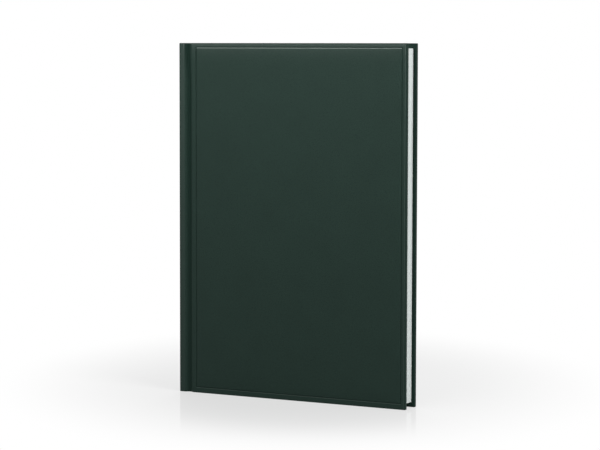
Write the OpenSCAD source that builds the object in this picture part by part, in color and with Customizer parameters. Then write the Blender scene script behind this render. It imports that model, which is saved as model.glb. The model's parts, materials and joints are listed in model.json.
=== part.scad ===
/* [Pages] */
// Width of a page, from the bound edge to the cut fore-edge
page_w = 146; // [90:1:220]
// Height of a page
page_h = 205; // [130:1:300]
// Thickness of the bound pages, without the two flyleaves
pages_t = 9.6; // [4:0.1:30]
// Thickness of the endpaper
paper_t = 0.15; // [0.1:0.01:0.3]

/* [Case] */
// Distance that the covers stand out past the pages at head and tail
head_square = 3; // [1.5:0.1:6]
// Distance that the covers stand out past the pages at the fore-edge
fore_square = 2.1; // [1:0.1:5]
// Thickness of the board in each cover
board_t = 1.5; // [1:0.1:3]
// Thickness of the foam under the leatherette of each cover
foam_t = 0.4; // [0.35:0.05:1.5]
// Thickness of the leatherette
skin_t = 0.3; // [0.2:0.05:0.5]
// Width of the leatherette that is turned in over the edges of the boards
turn_in_w = 15; // [8:1:25]
// Radius of the long outer edges of the covers
edge_r = 0.6; // [0.2:0.05:0.6]
// Radius of the two fore-edge corners of each cover
corner_r = 0.8; // [0.4:0.05:0.9]

/* [Spine] */
// Thickness of the board in the spine
spine_board_t = 1.5; // [1:0.1:3]
// Clear space between the spine board and the cloth on the back of the pages
hollow_t = 1.8; // [1.2:0.1:3]
// Thickness of the hinge cloth that is glued to the back of the pages
cloth_t = 0.3; // [0.2:0.05:0.4]
// Width of the hinge cloth that is glued to each board
cloth_flap_w = 22; // [10:1:40]
// Distance that the spine's edges lie below the face of the covers
spine_drop = 0.3; // [0.3:0.05:1]
// Radius of the spine's outer edges
spine_r = 0.7; // [0.2:0.05:0.8]

/* [Groove] */
// Width of the flat strip between the spine's edge and the groove
strip_w = 4.7; // [3:0.1:8]
// Width of the groove's slope on the spine's side
spine_slope_w = 1.5; // [0.8:0.1:3]
// Width of the groove's flat floor
floor_w = 1.2; // [0.6:0.1:3]
// Width of the groove's slope on the board's side
board_slope_w = 1.9; // [1:0.1:4]
// Depth of the groove below the face of the cover
groove_depth = 1.5; // [0.8:0.05:1.7]
// Distance that the board reaches into the groove's slope
board_under_slope = 0.4; // [0:0.05:0.6]

/* [Frame line] */
// Width of the pressed line that frames each cover
line_w = 1; // [0.6:0.1:2]
// Depth of the pressed line
line_depth = 0.25; // [0.1:0.05:0.35]
// Distance from the head and tail edges to the line
line_head_inset = 2.6; // [1.5:0.1:10]
// Distance from the fore-edge to the line
line_fore_inset = 3; // [1.5:0.1:10]
// Distance from the groove to the line
line_groove_inset = 2.2; // [1.5:0.1:10]

/* [Headbands] */
// Radius of the bead that shows above the pages
bead_r = 0.8; // [0.5:0.05:1]
// Thickness of the tape that carries the bead
tape_t = 0.3; // [0.2:0.05:0.4]

/* [Hidden] */
$fn = 48;

// Steps of each curved stretch of a section
slope_steps = 8;
// Length by which a cutter passes the face that it cuts
cut = 1;

// Depths below the face of the cover: the board's two faces, the turned-in leatherette
// and hinge cloth, the pastedown and the flyleaf that follow each other inwards
board_out = skin_t + foam_t;
board_in = board_out + board_t;
turn_in_in = board_in + skin_t;
cloth_in = board_in + cloth_t;
cover_in = max(turn_in_in, cloth_in) + paper_t;
flyleaf_in = cover_in + paper_t;
// Depth of the endpaper where it bends at the hinge, below the thicker of the two layers
bend_depth = groove_depth + skin_t + max(skin_t, cloth_t);

// Distances from the spine's outer face
spine_board_in = skin_t + spine_board_t;
page_start = spine_board_in + hollow_t + cloth_t;
floor_start = strip_w + spine_slope_w;
floor_end = floor_start + floor_w;
groove_end = floor_end + board_slope_w;
hinge_x = floor_start + floor_w / 2;
board_start = groove_end - board_under_slope;
page_end = page_start + page_w;

cover_w = page_end + fore_square;
cover_h = page_h + 2 * head_square;
cover_t = pages_t + 2 * flyleaf_in;

// The eased step from 0 to 1 that both slopes of the groove follow
function ease(t) = (1 - cos(180 * t)) / 2;

// Depth of the leatherette's outer face at a distance x from the spine's outer face
function outer_depth(x) =
    x <= strip_w ? spine_drop
    : x < floor_start ? spine_drop + (groove_depth - spine_drop) * ease((x - strip_w) / spine_slope_w)
    : x <= floor_end ? groove_depth
    : x < groove_end ? groove_depth * (1 - ease((x - floor_end) / board_slope_w))
    : 0;

// Points of the leatherette's section between two distances, a given depth below its outer face
function skin_line(from, to, below) = [
    for (i = [0 : slope_steps])
        let (x = from + (to - from) * i / slope_steps)
            [x, outer_depth(x) + below]
];

// Points of a quarter circle about a centre, from one angle to another
function arc(centre, r, from, to) = [
    for (i = [0 : slope_steps])
        let (a = from + (to - from) * i / slope_steps)
            centre + r * [cos(a), sin(a)]
];

// The lines through the groove, from the spine's side to the hinge and on to the board
function spine_side(below) = concat(
    skin_line(strip_w, floor_start, below),
    [[hinge_x, groove_depth + below]]
);
function board_side(below) = concat(
    [[hinge_x, groove_depth + below]],
    skin_line(floor_end, groove_end, below)
);

// The same points in the opposite order
function reversed(points) = [for (i = [len(points) - 1 : -1 : 0]) points[i]];

// The same points seen from the back cover
function flipped(points) = [for (p = points) [p.x, cover_t - p.y]];

// Puts the middle of the tail edge at the origin, with the front cover towards -Y
module standing() {
    translate([-cover_w / 2, -cover_t / 2, 0]) children();
}

// Makes the back cover's piece from the front cover's piece
module on_the_back() {
    mirror([0, 1, 0]) children();
}

// A rectangle with round corners, from the origin
module rounded_rectangle(size, r) {
    translate([r, 0]) square([size.x - 2 * r, size.y]);
    translate([0, r]) square([size.x, size.y - 2 * r]);
    for (x = [r, size.x - r], y = [r, size.y - r])
        translate([x, y]) circle(r);
}

// A plate in the plane of the cover, with round corners at the fore-edge only
module cover_plate(from_x, inset, depth_from, depth_to, r) {
    rounded_part = [cover_w - from_x - inset, cover_h - 2 * inset];
    translate([from_x, depth_to, inset])
        rotate([90, 0, 0])
            linear_extrude(depth_to - depth_from) {
                intersection() {
                    translate([-2 * r, 0])
                        rounded_rectangle([rounded_part.x + 2 * r, rounded_part.y], r);
                    square(rounded_part);
                }
            }
}

// The pressed line as a bar of a given width around the panel, between two depths
module line_frame(width, depth_from, depth_to) {
    grow = (width - line_w) / 2;
    low = [groove_end + line_groove_inset - grow, line_head_inset - grow];
    high = [cover_w - line_fore_inset + grow, cover_h - line_head_inset + grow];
    translate([low.x, depth_from, low.y])
        difference() {
            cube([high.x - low.x, depth_to - depth_from, high.y - low.y]);
            translate([width, -cut, width])
                cube([
                    high.x - low.x - 2 * width,
                    depth_to - depth_from + 2 * cut,
                    high.y - low.y - 2 * width
                ]);
        }
}

// The bound pages
module page_block() {
    color("whitesmoke")
        standing()
            translate([page_start, flyleaf_in, head_square])
                cube([page_w, pages_t, page_h]);
}

// The free leaf of the endpaper, with its folded strip as far as the hinge
module front_flyleaf() {
    fold_depth = cover_in - paper_t;
    section = [
        [hinge_x, bend_depth],
        [page_start, fold_depth],
        [page_start, flyleaf_in],
        [page_end, flyleaf_in],
        [page_end, cover_in],
        [page_start + paper_t, cover_in],
        [hinge_x, bend_depth + paper_t]
    ];
    color("white")
        standing()
            translate([0, 0, head_square])
                linear_extrude(page_h) polygon(section);
}

module back_flyleaf() {
    on_the_back() front_flyleaf();
}

// The cloth on the back of the pages, with the two strips that reach the hinges
module spine_cloth() {
    fold_depth = cover_in - paper_t;
    outer = [
        [hinge_x, groove_depth + skin_t],
        [page_start - cloth_t, fold_depth - cloth_t]
    ];
    inner = [
        [page_start, fold_depth],
        [hinge_x, groove_depth + skin_t + cloth_t]
    ];
    color("gainsboro")
        standing()
            translate([0, 0, turn_in_w])
                linear_extrude(cover_h - 2 * turn_in_w)
                    polygon(concat(
                        outer, flipped(reversed(outer)), flipped(reversed(inner)), inner
                    ));
}

// The woven band at the head: a bead above the pages and the tape that carries it
module headband() {
    tape_h = turn_in_w - head_square;
    band_w = cover_t - 2 * cover_in;
    color("ivory")
        standing()
            translate([page_start, cover_in, cover_h - head_square]) {
                translate([0, 0, bead_r])
                    rotate([-90, 0, 0])
                        cylinder(h = band_w, r = bead_r);
                translate([-tape_t, 0, -tape_h])
                    cube([tape_t, band_w, tape_h + bead_r]);
            }
}

module tailband() {
    translate([0, 0, cover_h])
        mirror([0, 0, 1])
            headband();
}

// The board that stiffens the spine
module spine_board() {
    edge_depth = spine_drop + skin_t;
    color("tan")
        standing()
            translate([skin_t, edge_depth, skin_t])
                cube([spine_board_t, cover_t - 2 * edge_depth, cover_h - 2 * skin_t]);
}

// The leatherette round the spine, as far as the two hinges. It is turned in over
// the spine board at head and tail.
module spine_wrap() {
    board_edge = spine_drop + skin_t;
    outer = concat(
        arc([spine_r, spine_drop + spine_r], spine_r, 180, 270),
        spine_side(0)
    );
    under_skin = concat([[skin_t, board_edge]], spine_side(skin_t));
    under_turn_in = concat(
        [[spine_board_in + skin_t, board_edge + skin_t]],
        spine_side(2 * skin_t)
    );
    color("darkslategray")
        standing()
            intersection() {
                difference() {
                    linear_extrude(cover_h)
                        polygon(concat(
                            outer, reversed(under_turn_in),
                            flipped(under_turn_in), flipped(reversed(outer))
                        ));
                    translate([0, 0, turn_in_w])
                        linear_extrude(cover_h - 2 * turn_in_w)
                            polygon(concat(
                                under_skin,
                                [[hinge_x + cut, groove_depth + skin_t]],
                                [[hinge_x + cut, cover_t - groove_depth - skin_t]],
                                flipped(reversed(under_skin))
                            ));
                    translate([skin_t, board_edge, skin_t])
                        cube([
                            spine_board_t,
                            cover_t - 2 * board_edge,
                            cover_h - 2 * skin_t
                        ]);
                }
                rotate([90, 0, 90])
                    linear_extrude(cover_w)
                        rounded_rectangle([cover_t, cover_h], edge_r);
            }
}

// The board of the front cover
module front_board() {
    color("tan")
        standing()
            cover_plate(board_start, skin_t, board_out, board_in, corner_r - skin_t);
}

module back_board() {
    on_the_back() front_board();
}

// The thin foam on the board's outer face, pressed in along the line
module front_padding() {
    section = concat(
        board_side(skin_t),
        [[cover_w, skin_t], [cover_w, groove_depth + skin_t]]
    );
    color("lightgray")
        standing()
            intersection() {
                difference() {
                    linear_extrude(cover_h) polygon(section);
                    line_frame(line_w + 2 * skin_t, 0, skin_t + line_depth);
                }
                cover_plate(board_start, skin_t, 0, board_out, corner_r - skin_t);
            }
}

module back_padding() {
    on_the_back() front_padding();
}

// The part of the hinge cloth that is glued to the front board
module front_hinge_cloth() {
    flap_end = board_start + cloth_flap_w;
    section = [
        [hinge_x, groove_depth + skin_t],
        [board_start, board_in],
        [flap_end, board_in],
        [flap_end, cloth_in],
        [board_start, cloth_in],
        [hinge_x, groove_depth + skin_t + cloth_t]
    ];
    color("gainsboro")
        standing()
            translate([0, 0, turn_in_w])
                linear_extrude(cover_h - 2 * turn_in_w) polygon(section);
}

module back_hinge_cloth() {
    on_the_back() front_hinge_cloth();
}

// The leatherette of the front cover, from the hinge round the board. It is turned in
// at head, tail and fore-edge, and pressed in along the line.
module front_cover_wrap() {
    whole = concat(
        board_side(0),
        arc([cover_w - edge_r, edge_r], edge_r, 270, 360),
        [
            [cover_w, turn_in_in],
            [board_start, turn_in_in],
            [hinge_x, groove_depth + 2 * skin_t]
        ]
    );
    hollow = concat(
        board_side(skin_t),
        [
            [cover_w - skin_t, skin_t],
            [cover_w - skin_t, board_in],
            [board_start, board_in],
            [hinge_x, groove_depth + skin_t]
        ]
    );
    color("darkslategray")
        standing()
            intersection() {
                difference() {
                    linear_extrude(cover_h) polygon(whole);
                    difference() {
                        translate([0, 0, skin_t])
                            linear_extrude(cover_h - 2 * skin_t) polygon(hollow);
                        line_frame(line_w + 2 * skin_t, 0, skin_t + line_depth);
                    }
                    line_frame(line_w, -cut, line_depth);
                    window_in_turn_ins();
                }
                rotate([90, 0, 90])
                    linear_extrude(cover_w)
                        rounded_rectangle([cover_t, cover_h], edge_r);
                cover_plate(0, 0, 0, cover_t, corner_r);
            }
}

module back_cover_wrap() {
    on_the_back() front_cover_wrap();
}

// The opening between the turned-in edges on the inside of the cover
module window_in_turn_ins() {
    below_hinge = groove_depth + skin_t;
    section = [
        [hinge_x - cut, below_hinge],
        [hinge_x, below_hinge],
        [board_start, board_in],
        [cover_w - turn_in_w, board_in],
        [cover_w - turn_in_w, cover_t],
        [hinge_x - cut, cover_t]
    ];
    translate([0, 0, turn_in_w])
        linear_extrude(cover_h - 2 * turn_in_w) polygon(section);
}

// The leaf of the endpaper that is glued to the inside of the cover. It lies over the
// turned-in edges and the hinge cloth, and sinks to the bare board between them.
module front_pastedown() {
    over = [
        [hinge_x, bend_depth],
        [board_start, cover_in - paper_t],
        [page_end, cover_in - paper_t],
        [page_end, cover_in],
        [board_start, cover_in],
        [hinge_x, bend_depth + paper_t]
    ];
    low = [board_start + cloth_flap_w, turn_in_w];
    high = [cover_w - turn_in_w, cover_h - turn_in_w];
    color("white")
        standing()
            difference() {
                union() {
                    translate([0, 0, head_square])
                        linear_extrude(page_h) polygon(over);
                    translate([low.x, board_in, low.y])
                        cube([high.x - low.x, cover_in - board_in, high.y - low.y]);
                }
                translate([low.x + paper_t, board_in + paper_t, low.y + paper_t])
                    cube([
                        high.x - low.x - 2 * paper_t,
                        cover_in,
                        high.y - low.y - 2 * paper_t
                    ]);
            }
}

module back_pastedown() {
    on_the_back() front_pastedown();
}

page_block();
front_flyleaf();
back_flyleaf();
spine_cloth();
headband();
tailband();
spine_board();
spine_wrap();
front_board();
front_padding();
front_hinge_cloth();
front_cover_wrap();
front_pastedown();
back_board();
back_padding();
back_hinge_cloth();
back_cover_wrap();
back_pastedown();
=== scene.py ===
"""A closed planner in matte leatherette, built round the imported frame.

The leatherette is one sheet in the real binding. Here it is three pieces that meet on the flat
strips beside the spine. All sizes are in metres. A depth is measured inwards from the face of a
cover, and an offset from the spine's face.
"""

import json
import math

import bmesh
import bpy
import numpy as np
from bpy.props import FloatProperty, FloatVectorProperty, IntProperty, PointerProperty
from bpy.types import Operator, Panel, PropertyGroup
from mathutils import Matrix, Vector


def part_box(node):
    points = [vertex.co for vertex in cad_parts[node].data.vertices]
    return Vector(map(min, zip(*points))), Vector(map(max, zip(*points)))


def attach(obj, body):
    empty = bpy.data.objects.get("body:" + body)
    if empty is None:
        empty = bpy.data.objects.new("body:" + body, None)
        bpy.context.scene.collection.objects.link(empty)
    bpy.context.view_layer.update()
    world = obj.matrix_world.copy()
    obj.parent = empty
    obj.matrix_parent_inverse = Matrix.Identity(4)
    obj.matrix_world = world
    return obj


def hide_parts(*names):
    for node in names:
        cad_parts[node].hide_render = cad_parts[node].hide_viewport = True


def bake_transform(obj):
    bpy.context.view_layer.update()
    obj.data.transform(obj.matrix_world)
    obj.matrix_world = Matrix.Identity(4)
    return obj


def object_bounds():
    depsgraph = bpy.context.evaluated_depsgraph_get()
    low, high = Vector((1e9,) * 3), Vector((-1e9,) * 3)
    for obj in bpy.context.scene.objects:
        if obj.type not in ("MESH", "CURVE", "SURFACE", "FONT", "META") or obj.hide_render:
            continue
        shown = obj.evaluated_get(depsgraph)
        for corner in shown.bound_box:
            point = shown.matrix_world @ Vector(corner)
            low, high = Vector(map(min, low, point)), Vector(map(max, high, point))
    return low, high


bl_info = {
    "name": "Planner",
    "version": (1, 0, 0),
    "blender": (4, 5, 0),
    "location": "View3D > Sidebar > Planner",
    "description": "Builds a padded leatherette planner round its packed frame",
    "category": "Object",
}

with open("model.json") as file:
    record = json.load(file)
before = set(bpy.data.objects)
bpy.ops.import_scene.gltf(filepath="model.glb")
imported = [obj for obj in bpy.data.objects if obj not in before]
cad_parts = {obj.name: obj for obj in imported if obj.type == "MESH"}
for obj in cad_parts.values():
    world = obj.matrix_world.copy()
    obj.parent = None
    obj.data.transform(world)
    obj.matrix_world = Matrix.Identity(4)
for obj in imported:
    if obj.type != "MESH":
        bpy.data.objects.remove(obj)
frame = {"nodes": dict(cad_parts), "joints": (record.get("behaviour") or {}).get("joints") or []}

MM = 0.001
PAGES_BODY = "pages_and_spine"
SIDES = (("front", False), ("back", True))

CAD_LOW, CAD_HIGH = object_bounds()
COVER_W = CAD_HIGH.x - CAD_LOW.x
COVER_T = CAD_HIGH.y - CAD_LOW.y
COVER_H = CAD_HIGH.z
PAGES_LOW, PAGES_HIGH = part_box("page_block")
BOARD_LOW, BOARD_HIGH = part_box("front_board")
GAUZE_LOW, GAUZE_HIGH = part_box("front_hinge_cloth")
HINGE_X = frame["joints"][0]["pos_m"][0] - CAD_LOW.x

SKIN_T = CAD_HIGH.x - BOARD_HIGH.x
BOARD_IN = BOARD_HIGH.y - CAD_LOW.y
TURN_IN_DEPTH = BOARD_IN + SKIN_T
FLYLEAF_IN = PAGES_LOW.y - CAD_LOW.y
PAPER_T = (FLYLEAF_IN - TURN_IN_DEPTH) / 2
BOARD_START = BOARD_LOW.x - CAD_LOW.x
PAGE_START = PAGES_LOW.x - CAD_LOW.x
PAGE_END = PAGES_HIGH.x - CAD_LOW.x
BEND_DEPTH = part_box("front_flyleaf")[0].y - CAD_LOW.y
SPINE_BOARD_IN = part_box("spine_board")[1].x - CAD_LOW.x
GAUZE_END = GAUZE_HIGH.x - CAD_LOW.x
GAUZE_T = GAUZE_HIGH.y - BOARD_HIGH.y

SMOOTH_ANGLE = math.radians(35)
MERGE_DISTANCE = 1e-7
TRIM_SEED = 11
FLOOR_HALF_SIZE = 4.0
WHITE = (1.0, 1.0, 1.0, 1.0)


def length_property(name, description, default_mm):
    """A length that is written in millimetres and kept in metres."""
    return FloatProperty(
        name=name, description=description, default=default_mm * MM, subtype="DISTANCE", unit="LENGTH",
        precision=5,
    )


def share_property(name, description, default):
    """A plain share, usually from 0 to 1."""
    return FloatProperty(name=name, description=description, default=default)


def angle_property(name, description, default_degrees):
    """An angle that is written in degrees and kept in radians."""
    return FloatProperty(
        name=name, description=description, default=math.radians(default_degrees), subtype="ANGLE"
    )


def power_property(name, description, default):
    """A lamp's power in watts."""
    return FloatProperty(name=name, description=description, default=default, unit="POWER")


def colour_property(name, description, default):
    """A colour as linear red, green and blue."""
    return FloatVectorProperty(
        name=name, description=description, default=default, subtype="COLOR", size=3, min=0, max=1
    )


class PlannerCase(PropertyGroup):
    """Sizes of the leatherette and of what is pressed into it, and how strong the painted light and shade on
    it are.
    """

    seam: length_property("Seam", "From the spine's face to the seam of the cover's piece", 2.8)
    groove_start: length_property("Groove start", "From the spine's face to the start of the groove", 3.5)
    floor_start: length_property("Groove floor start", "From the spine's face to the groove's floor", 6.4)
    floor_end: length_property("Groove floor end", "From the spine's face to the floor's far side", 7.4)
    groove_end: length_property("Groove end", "From the spine's face to the end of the groove", 9.3)
    groove_depth: length_property("Groove depth", "Depth of the groove below the cover's face", 1.5)
    head_drift: length_property("Groove drift", "Shift of the groove's floor to the spine at the head", 1.7)
    drift_reach: length_property("Drift reach", "Height over which the groove shifts", 26)
    spine_drop: length_property("Spine drop", "Depth of the strip beside the spine", 0.15)
    spine_crown: length_property("Spine crown", "How far the strip falls away towards the spine's edge", 0.12)
    spine_radius: length_property("Spine edge", "Radius of the spine's outer edges", 0.5)
    edge_radius: length_property("Edge", "Radius of the cover's outer edges", 0.45)
    inner_radius: length_property("Inner edge", "Radius of the cover's inner edges", 0.35)
    turn_in: length_property("Turn-in", "Width of the leatherette turned in over the board", 15)
    line_reach: length_property("Line", "Half the width of the pressed line", 0.48)
    line_depth: length_property("Line depth", "Depth of the pressed line", 0.34)
    line_head: length_property("Line at head", "From the head to the middle of the line", 2.65)
    line_tail: length_property("Line at tail", "From the tail to the middle of the line", 3.5)
    line_fore: length_property("Line at fore-edge", "From the fore-edge to the middle of the line", 3.0)
    line_spine: length_property("Line at spine", "From the spine's face to the middle of the line", 12.0)
    border_drop: length_property("Border drop", "Depth of the border outside the line", 0.08)
    border_crown: length_property("Border crown", "How far the border falls away to the cover's edge", 0.16)
    crown_reach: length_property("Crown reach", "Width of the border that falls away", 2.4)
    # Strength of the painted light on the strip beside the spine.
    strip_rub: share_property("Strip rub", "How light the strip beside the spine is rubbed", 0.062)
    # Strength of the painted highlight on the shoulder beside the head and the fore-edge.
    rim_rub: share_property("Rim rub", "How light the shoulder beside the cover's edge is rubbed", 0.15)
    # Strength of the painted sheen on both sides of the line at the head.
    head_rub: share_property("Head rub", "How light both sides of the line at the head are rubbed", 0.064)
    # Strength of the painted highlight on the line's lip that faces the head.
    lip_rub: share_property("Lip rub", "How light the lip of the line is rubbed", 0.96)
    # Strength of the painted shade on the turned edges and the turn-ins.
    edge_press: share_property("Edge press", "How dark the turned edges are pressed", 0.65)
    # Strength of the painted shade on the corner outside the shoulder.
    corner_press: share_property("Corner press", "How dark the corner beside the shoulder is pressed", 0.15)
    pad_rise: length_property("Pad rise", "Height of the padded panel above the border", 0.45)
    pad_reach: length_property("Pad reach", "Width over which the panel rises from the line", 3.4)


class PlannerPaper(PropertyGroup):
    """Sizes of the pages, endpapers and headbands."""

    leaf_bands: IntProperty(
        name="Leaf bands", description="Bands across the pages that differ in trim", default=184, min=8
    )
    trim_error: length_property("Trim error", "Largest difference between the cut of two bands", 0.03)
    section_notch: length_property("Section notch", "Depth of the notch between two sections", 0.07)
    leaves_in_section: IntProperty(
        name="Bands in a section", description="Bands between two notches", default=16, min=2
    )
    step_width: length_property("Step", "Width over which the paper steps down to the bare board", 1.2)
    bead_radius: length_property("Bead", "Radius of the headband's bead", 0.8)
    thread_rise: length_property("Thread", "Height of the thread that is wound round the bead", 0.07)
    tape_height: length_property("Tape", "Height of the headband's tape", 12)


class PlannerColours(PropertyGroup):
    """Colours of the materials."""

    leatherette: colour_property("Leatherette", "Dark green of the covers", (0.0205, 0.0405, 0.0325))
    # Colour of the painted shade in the groove, at the corners and on the turned edges, and of the line,
    # which is partly real burnish and partly painted shade.
    pressed: colour_property("Pressed", "Leatherette that is pressed dark", (0.0062, 0.0208, 0.0148))
    # Colour of the painted highlight, painted light and painted sheen on the strip, shoulder, lip and head.
    rubbed: colour_property("Rubbed", "Leatherette that is rubbed light", (0.255, 0.300, 0.280))
    pages: colour_property("Pages", "White of the cut page edges", (0.825, 0.88, 0.865))
    endpaper: colour_property("Endpaper", "White of the endpapers", (0.76, 0.77, 0.75))
    greyboard: colour_property("Greyboard", "Grey of the boards", (0.24, 0.22, 0.19))
    foam: colour_property("Foam", "White of the padding", (0.72, 0.72, 0.68))
    cloth: colour_property("Hinge cloth", "Natural cotton", (0.66, 0.62, 0.53))
    thread: colour_property("Headband", "Main thread of the headbands", (0.7, 0.69, 0.63))
    second_thread: colour_property("Headband stripe", "Second thread of the headbands", (0.03, 0.07, 0.05))


class PlannerStage(PropertyGroup):
    """Camera, lamps and floor."""

    lens: FloatProperty(
        name="Lens", description="Focal length for a 36 mm sensor", default=136.74, unit="CAMERA"
    )
    azimuth: angle_property("Azimuth", "Camera's turn to the right of the front", 28.42)
    elevation: angle_property("Elevation", "Camera's height above the horizon", 4.44)
    roll: angle_property("Roll", "Camera's roll", 0.11)
    distance: length_property("Distance", "Camera's distance from its target", 1416)
    target: FloatVectorProperty(
        name="Target", description="Point at the picture's centre", default=(-0.0299, 0.0606, 0.0985),
        subtype="XYZ",
    )
    ambient: share_property("Ambient", "Strength of the white surroundings", 0.41)
    rear_power: power_property("Rear", "Power of the softbox behind", 5.0)
    head_power: power_property("Head", "Power of the softbox near the head", 0.126)
    left_power: power_property("Left", "Power of the lamp on the left", 1.06)
    right_power: power_property("Right", "Power of the lamp on the right", 7.5)


def ease(t):
    """The eased step (1 - cos(pi t)) / 2, held at 0 before t = 0 and at 1 after t = 1."""
    return (1 - np.cos(np.pi * np.clip(t, 0, 1))) / 2


def joined(stops, counts):
    """Points between each two stops in turn, evenly spaced, with each stop once."""
    parts = [np.linspace(a, b, n, endpoint=False) for a, b, n in zip(stops[:-1], stops[1:], counts)]
    return np.concatenate([*parts, [stops[-1]]])


def grid_quads(indices):
    """The quads between the neighbours in a grid of point numbers."""
    corners = [indices[:-1, :-1], indices[:-1, 1:], indices[1:, 1:], indices[1:, :-1]]
    return np.stack(corners, axis=-1).reshape(-1, 4)


def quads(rows, columns):
    """The quads of a grid of points, row by row."""
    return grid_quads(np.arange(rows * columns).reshape(rows, columns))


def ring_quads(indices):
    """The quads of a grid of point numbers whose rows close on themselves."""
    return grid_quads(np.concatenate([indices, indices[:, :1]], axis=1))


def flat_pairs(first, second):
    """Two grids of values as one list of pairs."""
    return np.stack([first, second], axis=-1).reshape(-1, 2)


def placed(offset, depth, height, back=False):
    """Points in the frame from offsets, depths and heights. The back cover's depth runs the other way."""
    offset, depth, height = np.broadcast_arrays(offset, depth, height)
    y = CAD_HIGH.y - depth if back else CAD_LOW.y + depth
    return np.stack([CAD_LOW.x + offset, y, height], axis=-1)


def new_piece(name, points, faces, uv, material, turned=False, shading_and_burnish=None):
    """A mesh object from arrays of points, quads and a UV pair for each point. Points that coincide
    are merged, and quads that lose a side become triangles or go. The last argument holds each
    point's painted light and shade, with the line's burnish."""
    points = points.reshape(-1, 3)
    if turned:
        faces = faces[:, ::-1]
    mesh = bpy.data.meshes.new(name)
    mesh.vertices.add(len(points))
    mesh.vertices.foreach_set("co", np.ascontiguousarray(points, dtype=np.float32).ravel())
    mesh.loops.add(faces.size)
    mesh.loops.foreach_set("vertex_index", np.ascontiguousarray(faces, dtype=np.int32).ravel())
    mesh.polygons.add(len(faces))
    mesh.polygons.foreach_set("loop_start", np.arange(0, faces.size, 4, dtype=np.int32))
    layer = mesh.uv_layers.new(name="sheet")
    layer.data.foreach_set("uv", np.asarray(uv, dtype=np.float32)[faces.ravel()].ravel())
    if shading_and_burnish is not None:
        # Stores each point's painted light and shade, with the line's burnish, as a point attribute.
        mesh.attributes.new("painted_shading_and_burnish", "FLOAT", "POINT").data.foreach_set("value", shading_and_burnish.astype(np.float32))
    mesh.update(calc_edges=True)
    mesh.validate()
    bm = bmesh.new()
    bm.from_mesh(mesh)
    bmesh.ops.remove_doubles(bm, verts=bm.verts, dist=MERGE_DISTANCE)
    bm.to_mesh(mesh)
    bm.free()
    piece = bpy.data.objects.new(name, mesh)
    bpy.context.scene.collection.objects.link(piece)
    mesh.materials.append(material)
    finish_shading(mesh)
    return piece


def finish_shading(mesh):
    """Smooth shading, with sharp edges left hard."""
    mesh.shade_smooth()
    mesh.set_sharp_from_angle(angle=SMOOTH_ANGLE)


def thicken(piece, thickness):
    """Gives a sheet its thickness on the side away from its faces, and applies it."""
    wall = piece.modifiers.new("wall", "SOLIDIFY")
    wall.thickness = thickness
    wall.offset = -1
    solid = bpy.data.meshes.new_from_object(piece.evaluated_get(bpy.context.evaluated_depsgraph_get()))
    piece.modifiers.clear()
    solid.name = piece.data.name
    piece.data = solid
    finish_shading(solid)


def close_ends(mesh):
    """Closes a tube's two ends with one face each."""
    bm = bmesh.new()
    bm.from_mesh(mesh)
    bmesh.ops.holes_fill(bm, edges=[e for e in bm.edges if e.is_boundary])
    bmesh.ops.recalc_face_normals(bm, faces=bm.faces)
    bm.to_mesh(mesh)
    bm.free()


def sheet_piece(name, xs, zs, depth_at, thickness, material, back):
    """A glued sheet of paper or cloth as a grid over offset and height, with its depth from a
    function of both."""
    offset, height = np.meshgrid(xs, zs, indexing="ij")
    points = placed(offset, depth_at(offset, height), height, back)
    piece = new_piece(
        name, points, quads(len(xs), len(zs)), flat_pairs(offset, height), material, turned=back
    )
    thicken(piece, thickness)
    return piece


def groove_depth_at(case, offset, height):
    """Depth of the leatherette from the seam through the groove to the board: two eased slopes with
    a flat floor between them. Near the head the floor shifts towards the spine."""
    drift = case.head_drift * ease((height - (COVER_H - case.drift_reach)) / case.drift_reach)
    down = ease((offset - case.groove_start) / (case.floor_start - drift - case.groove_start))
    up = ease((offset - case.floor_end + drift) / (case.groove_end - case.floor_end + drift))
    fall, climb = case.groove_depth - case.spine_drop, case.groove_depth - case.border_drop
    return case.spine_drop + fall * down - climb * up


def frame_line(case):
    """The rectangle along the middle of the pressed line: its lowest and highest offset and height."""
    return case.line_spine, COVER_W - case.line_fore, case.line_tail, COVER_H - case.line_head


def line_share(case, offset, height):
    """How deep a point lies in the pressed line, from 0 outside to 1 along its middle: an eased
    step of the distance to the frame's rectangle."""
    low_x, high_x, low_z, high_z = frame_line(case)
    inside_x = np.minimum(offset - low_x, high_x - offset)
    inside_z = np.minimum(height - low_z, high_z - height)
    inside = np.minimum(inside_x, inside_z)
    past = np.hypot(np.maximum(-inside_x, 0), np.maximum(-inside_z, 0))
    distance = np.where(inside > 0, inside, past)
    return 1 - ease(distance / case.line_reach)


def groove_share(case, offset, height):
    """How deep a point lies in the groove, from 0 on the strip or the board to 1 on the floor."""
    shallow = np.where(offset < case.floor_start, case.spine_drop, case.border_drop)
    return (groove_depth_at(case, offset, height) - shallow) / (case.groove_depth - shallow)


def cover_depth(case, offset, height):
    """Depth of the cover's outer face. The pressed line is a rounded dip, and inside it the panel
    rises from each side of the frame as 1 - exp(-distance / reach)."""
    low_x, high_x, low_z, high_z = frame_line(case)
    rise = case.pad_rise
    for away in (offset - low_x, high_x - offset, height - low_z, high_z - height):
        rise = rise * (1 - np.exp(-np.maximum(away, 0) / case.pad_reach))
    to_edge = np.minimum(np.minimum(COVER_W - offset, height), COVER_H - height)
    crown = case.border_crown * np.maximum(1 - to_edge / case.crown_reach, 0) ** 2
    line = case.line_depth * line_share(case, offset, height)
    return groove_depth_at(case, offset, height) + line + crown - rise


def towards_head(height, at_tail):
    """A share that grows evenly from its value at the tail to 1 at the head."""
    return at_tail + (1 - at_tail) * height / COVER_H


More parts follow.
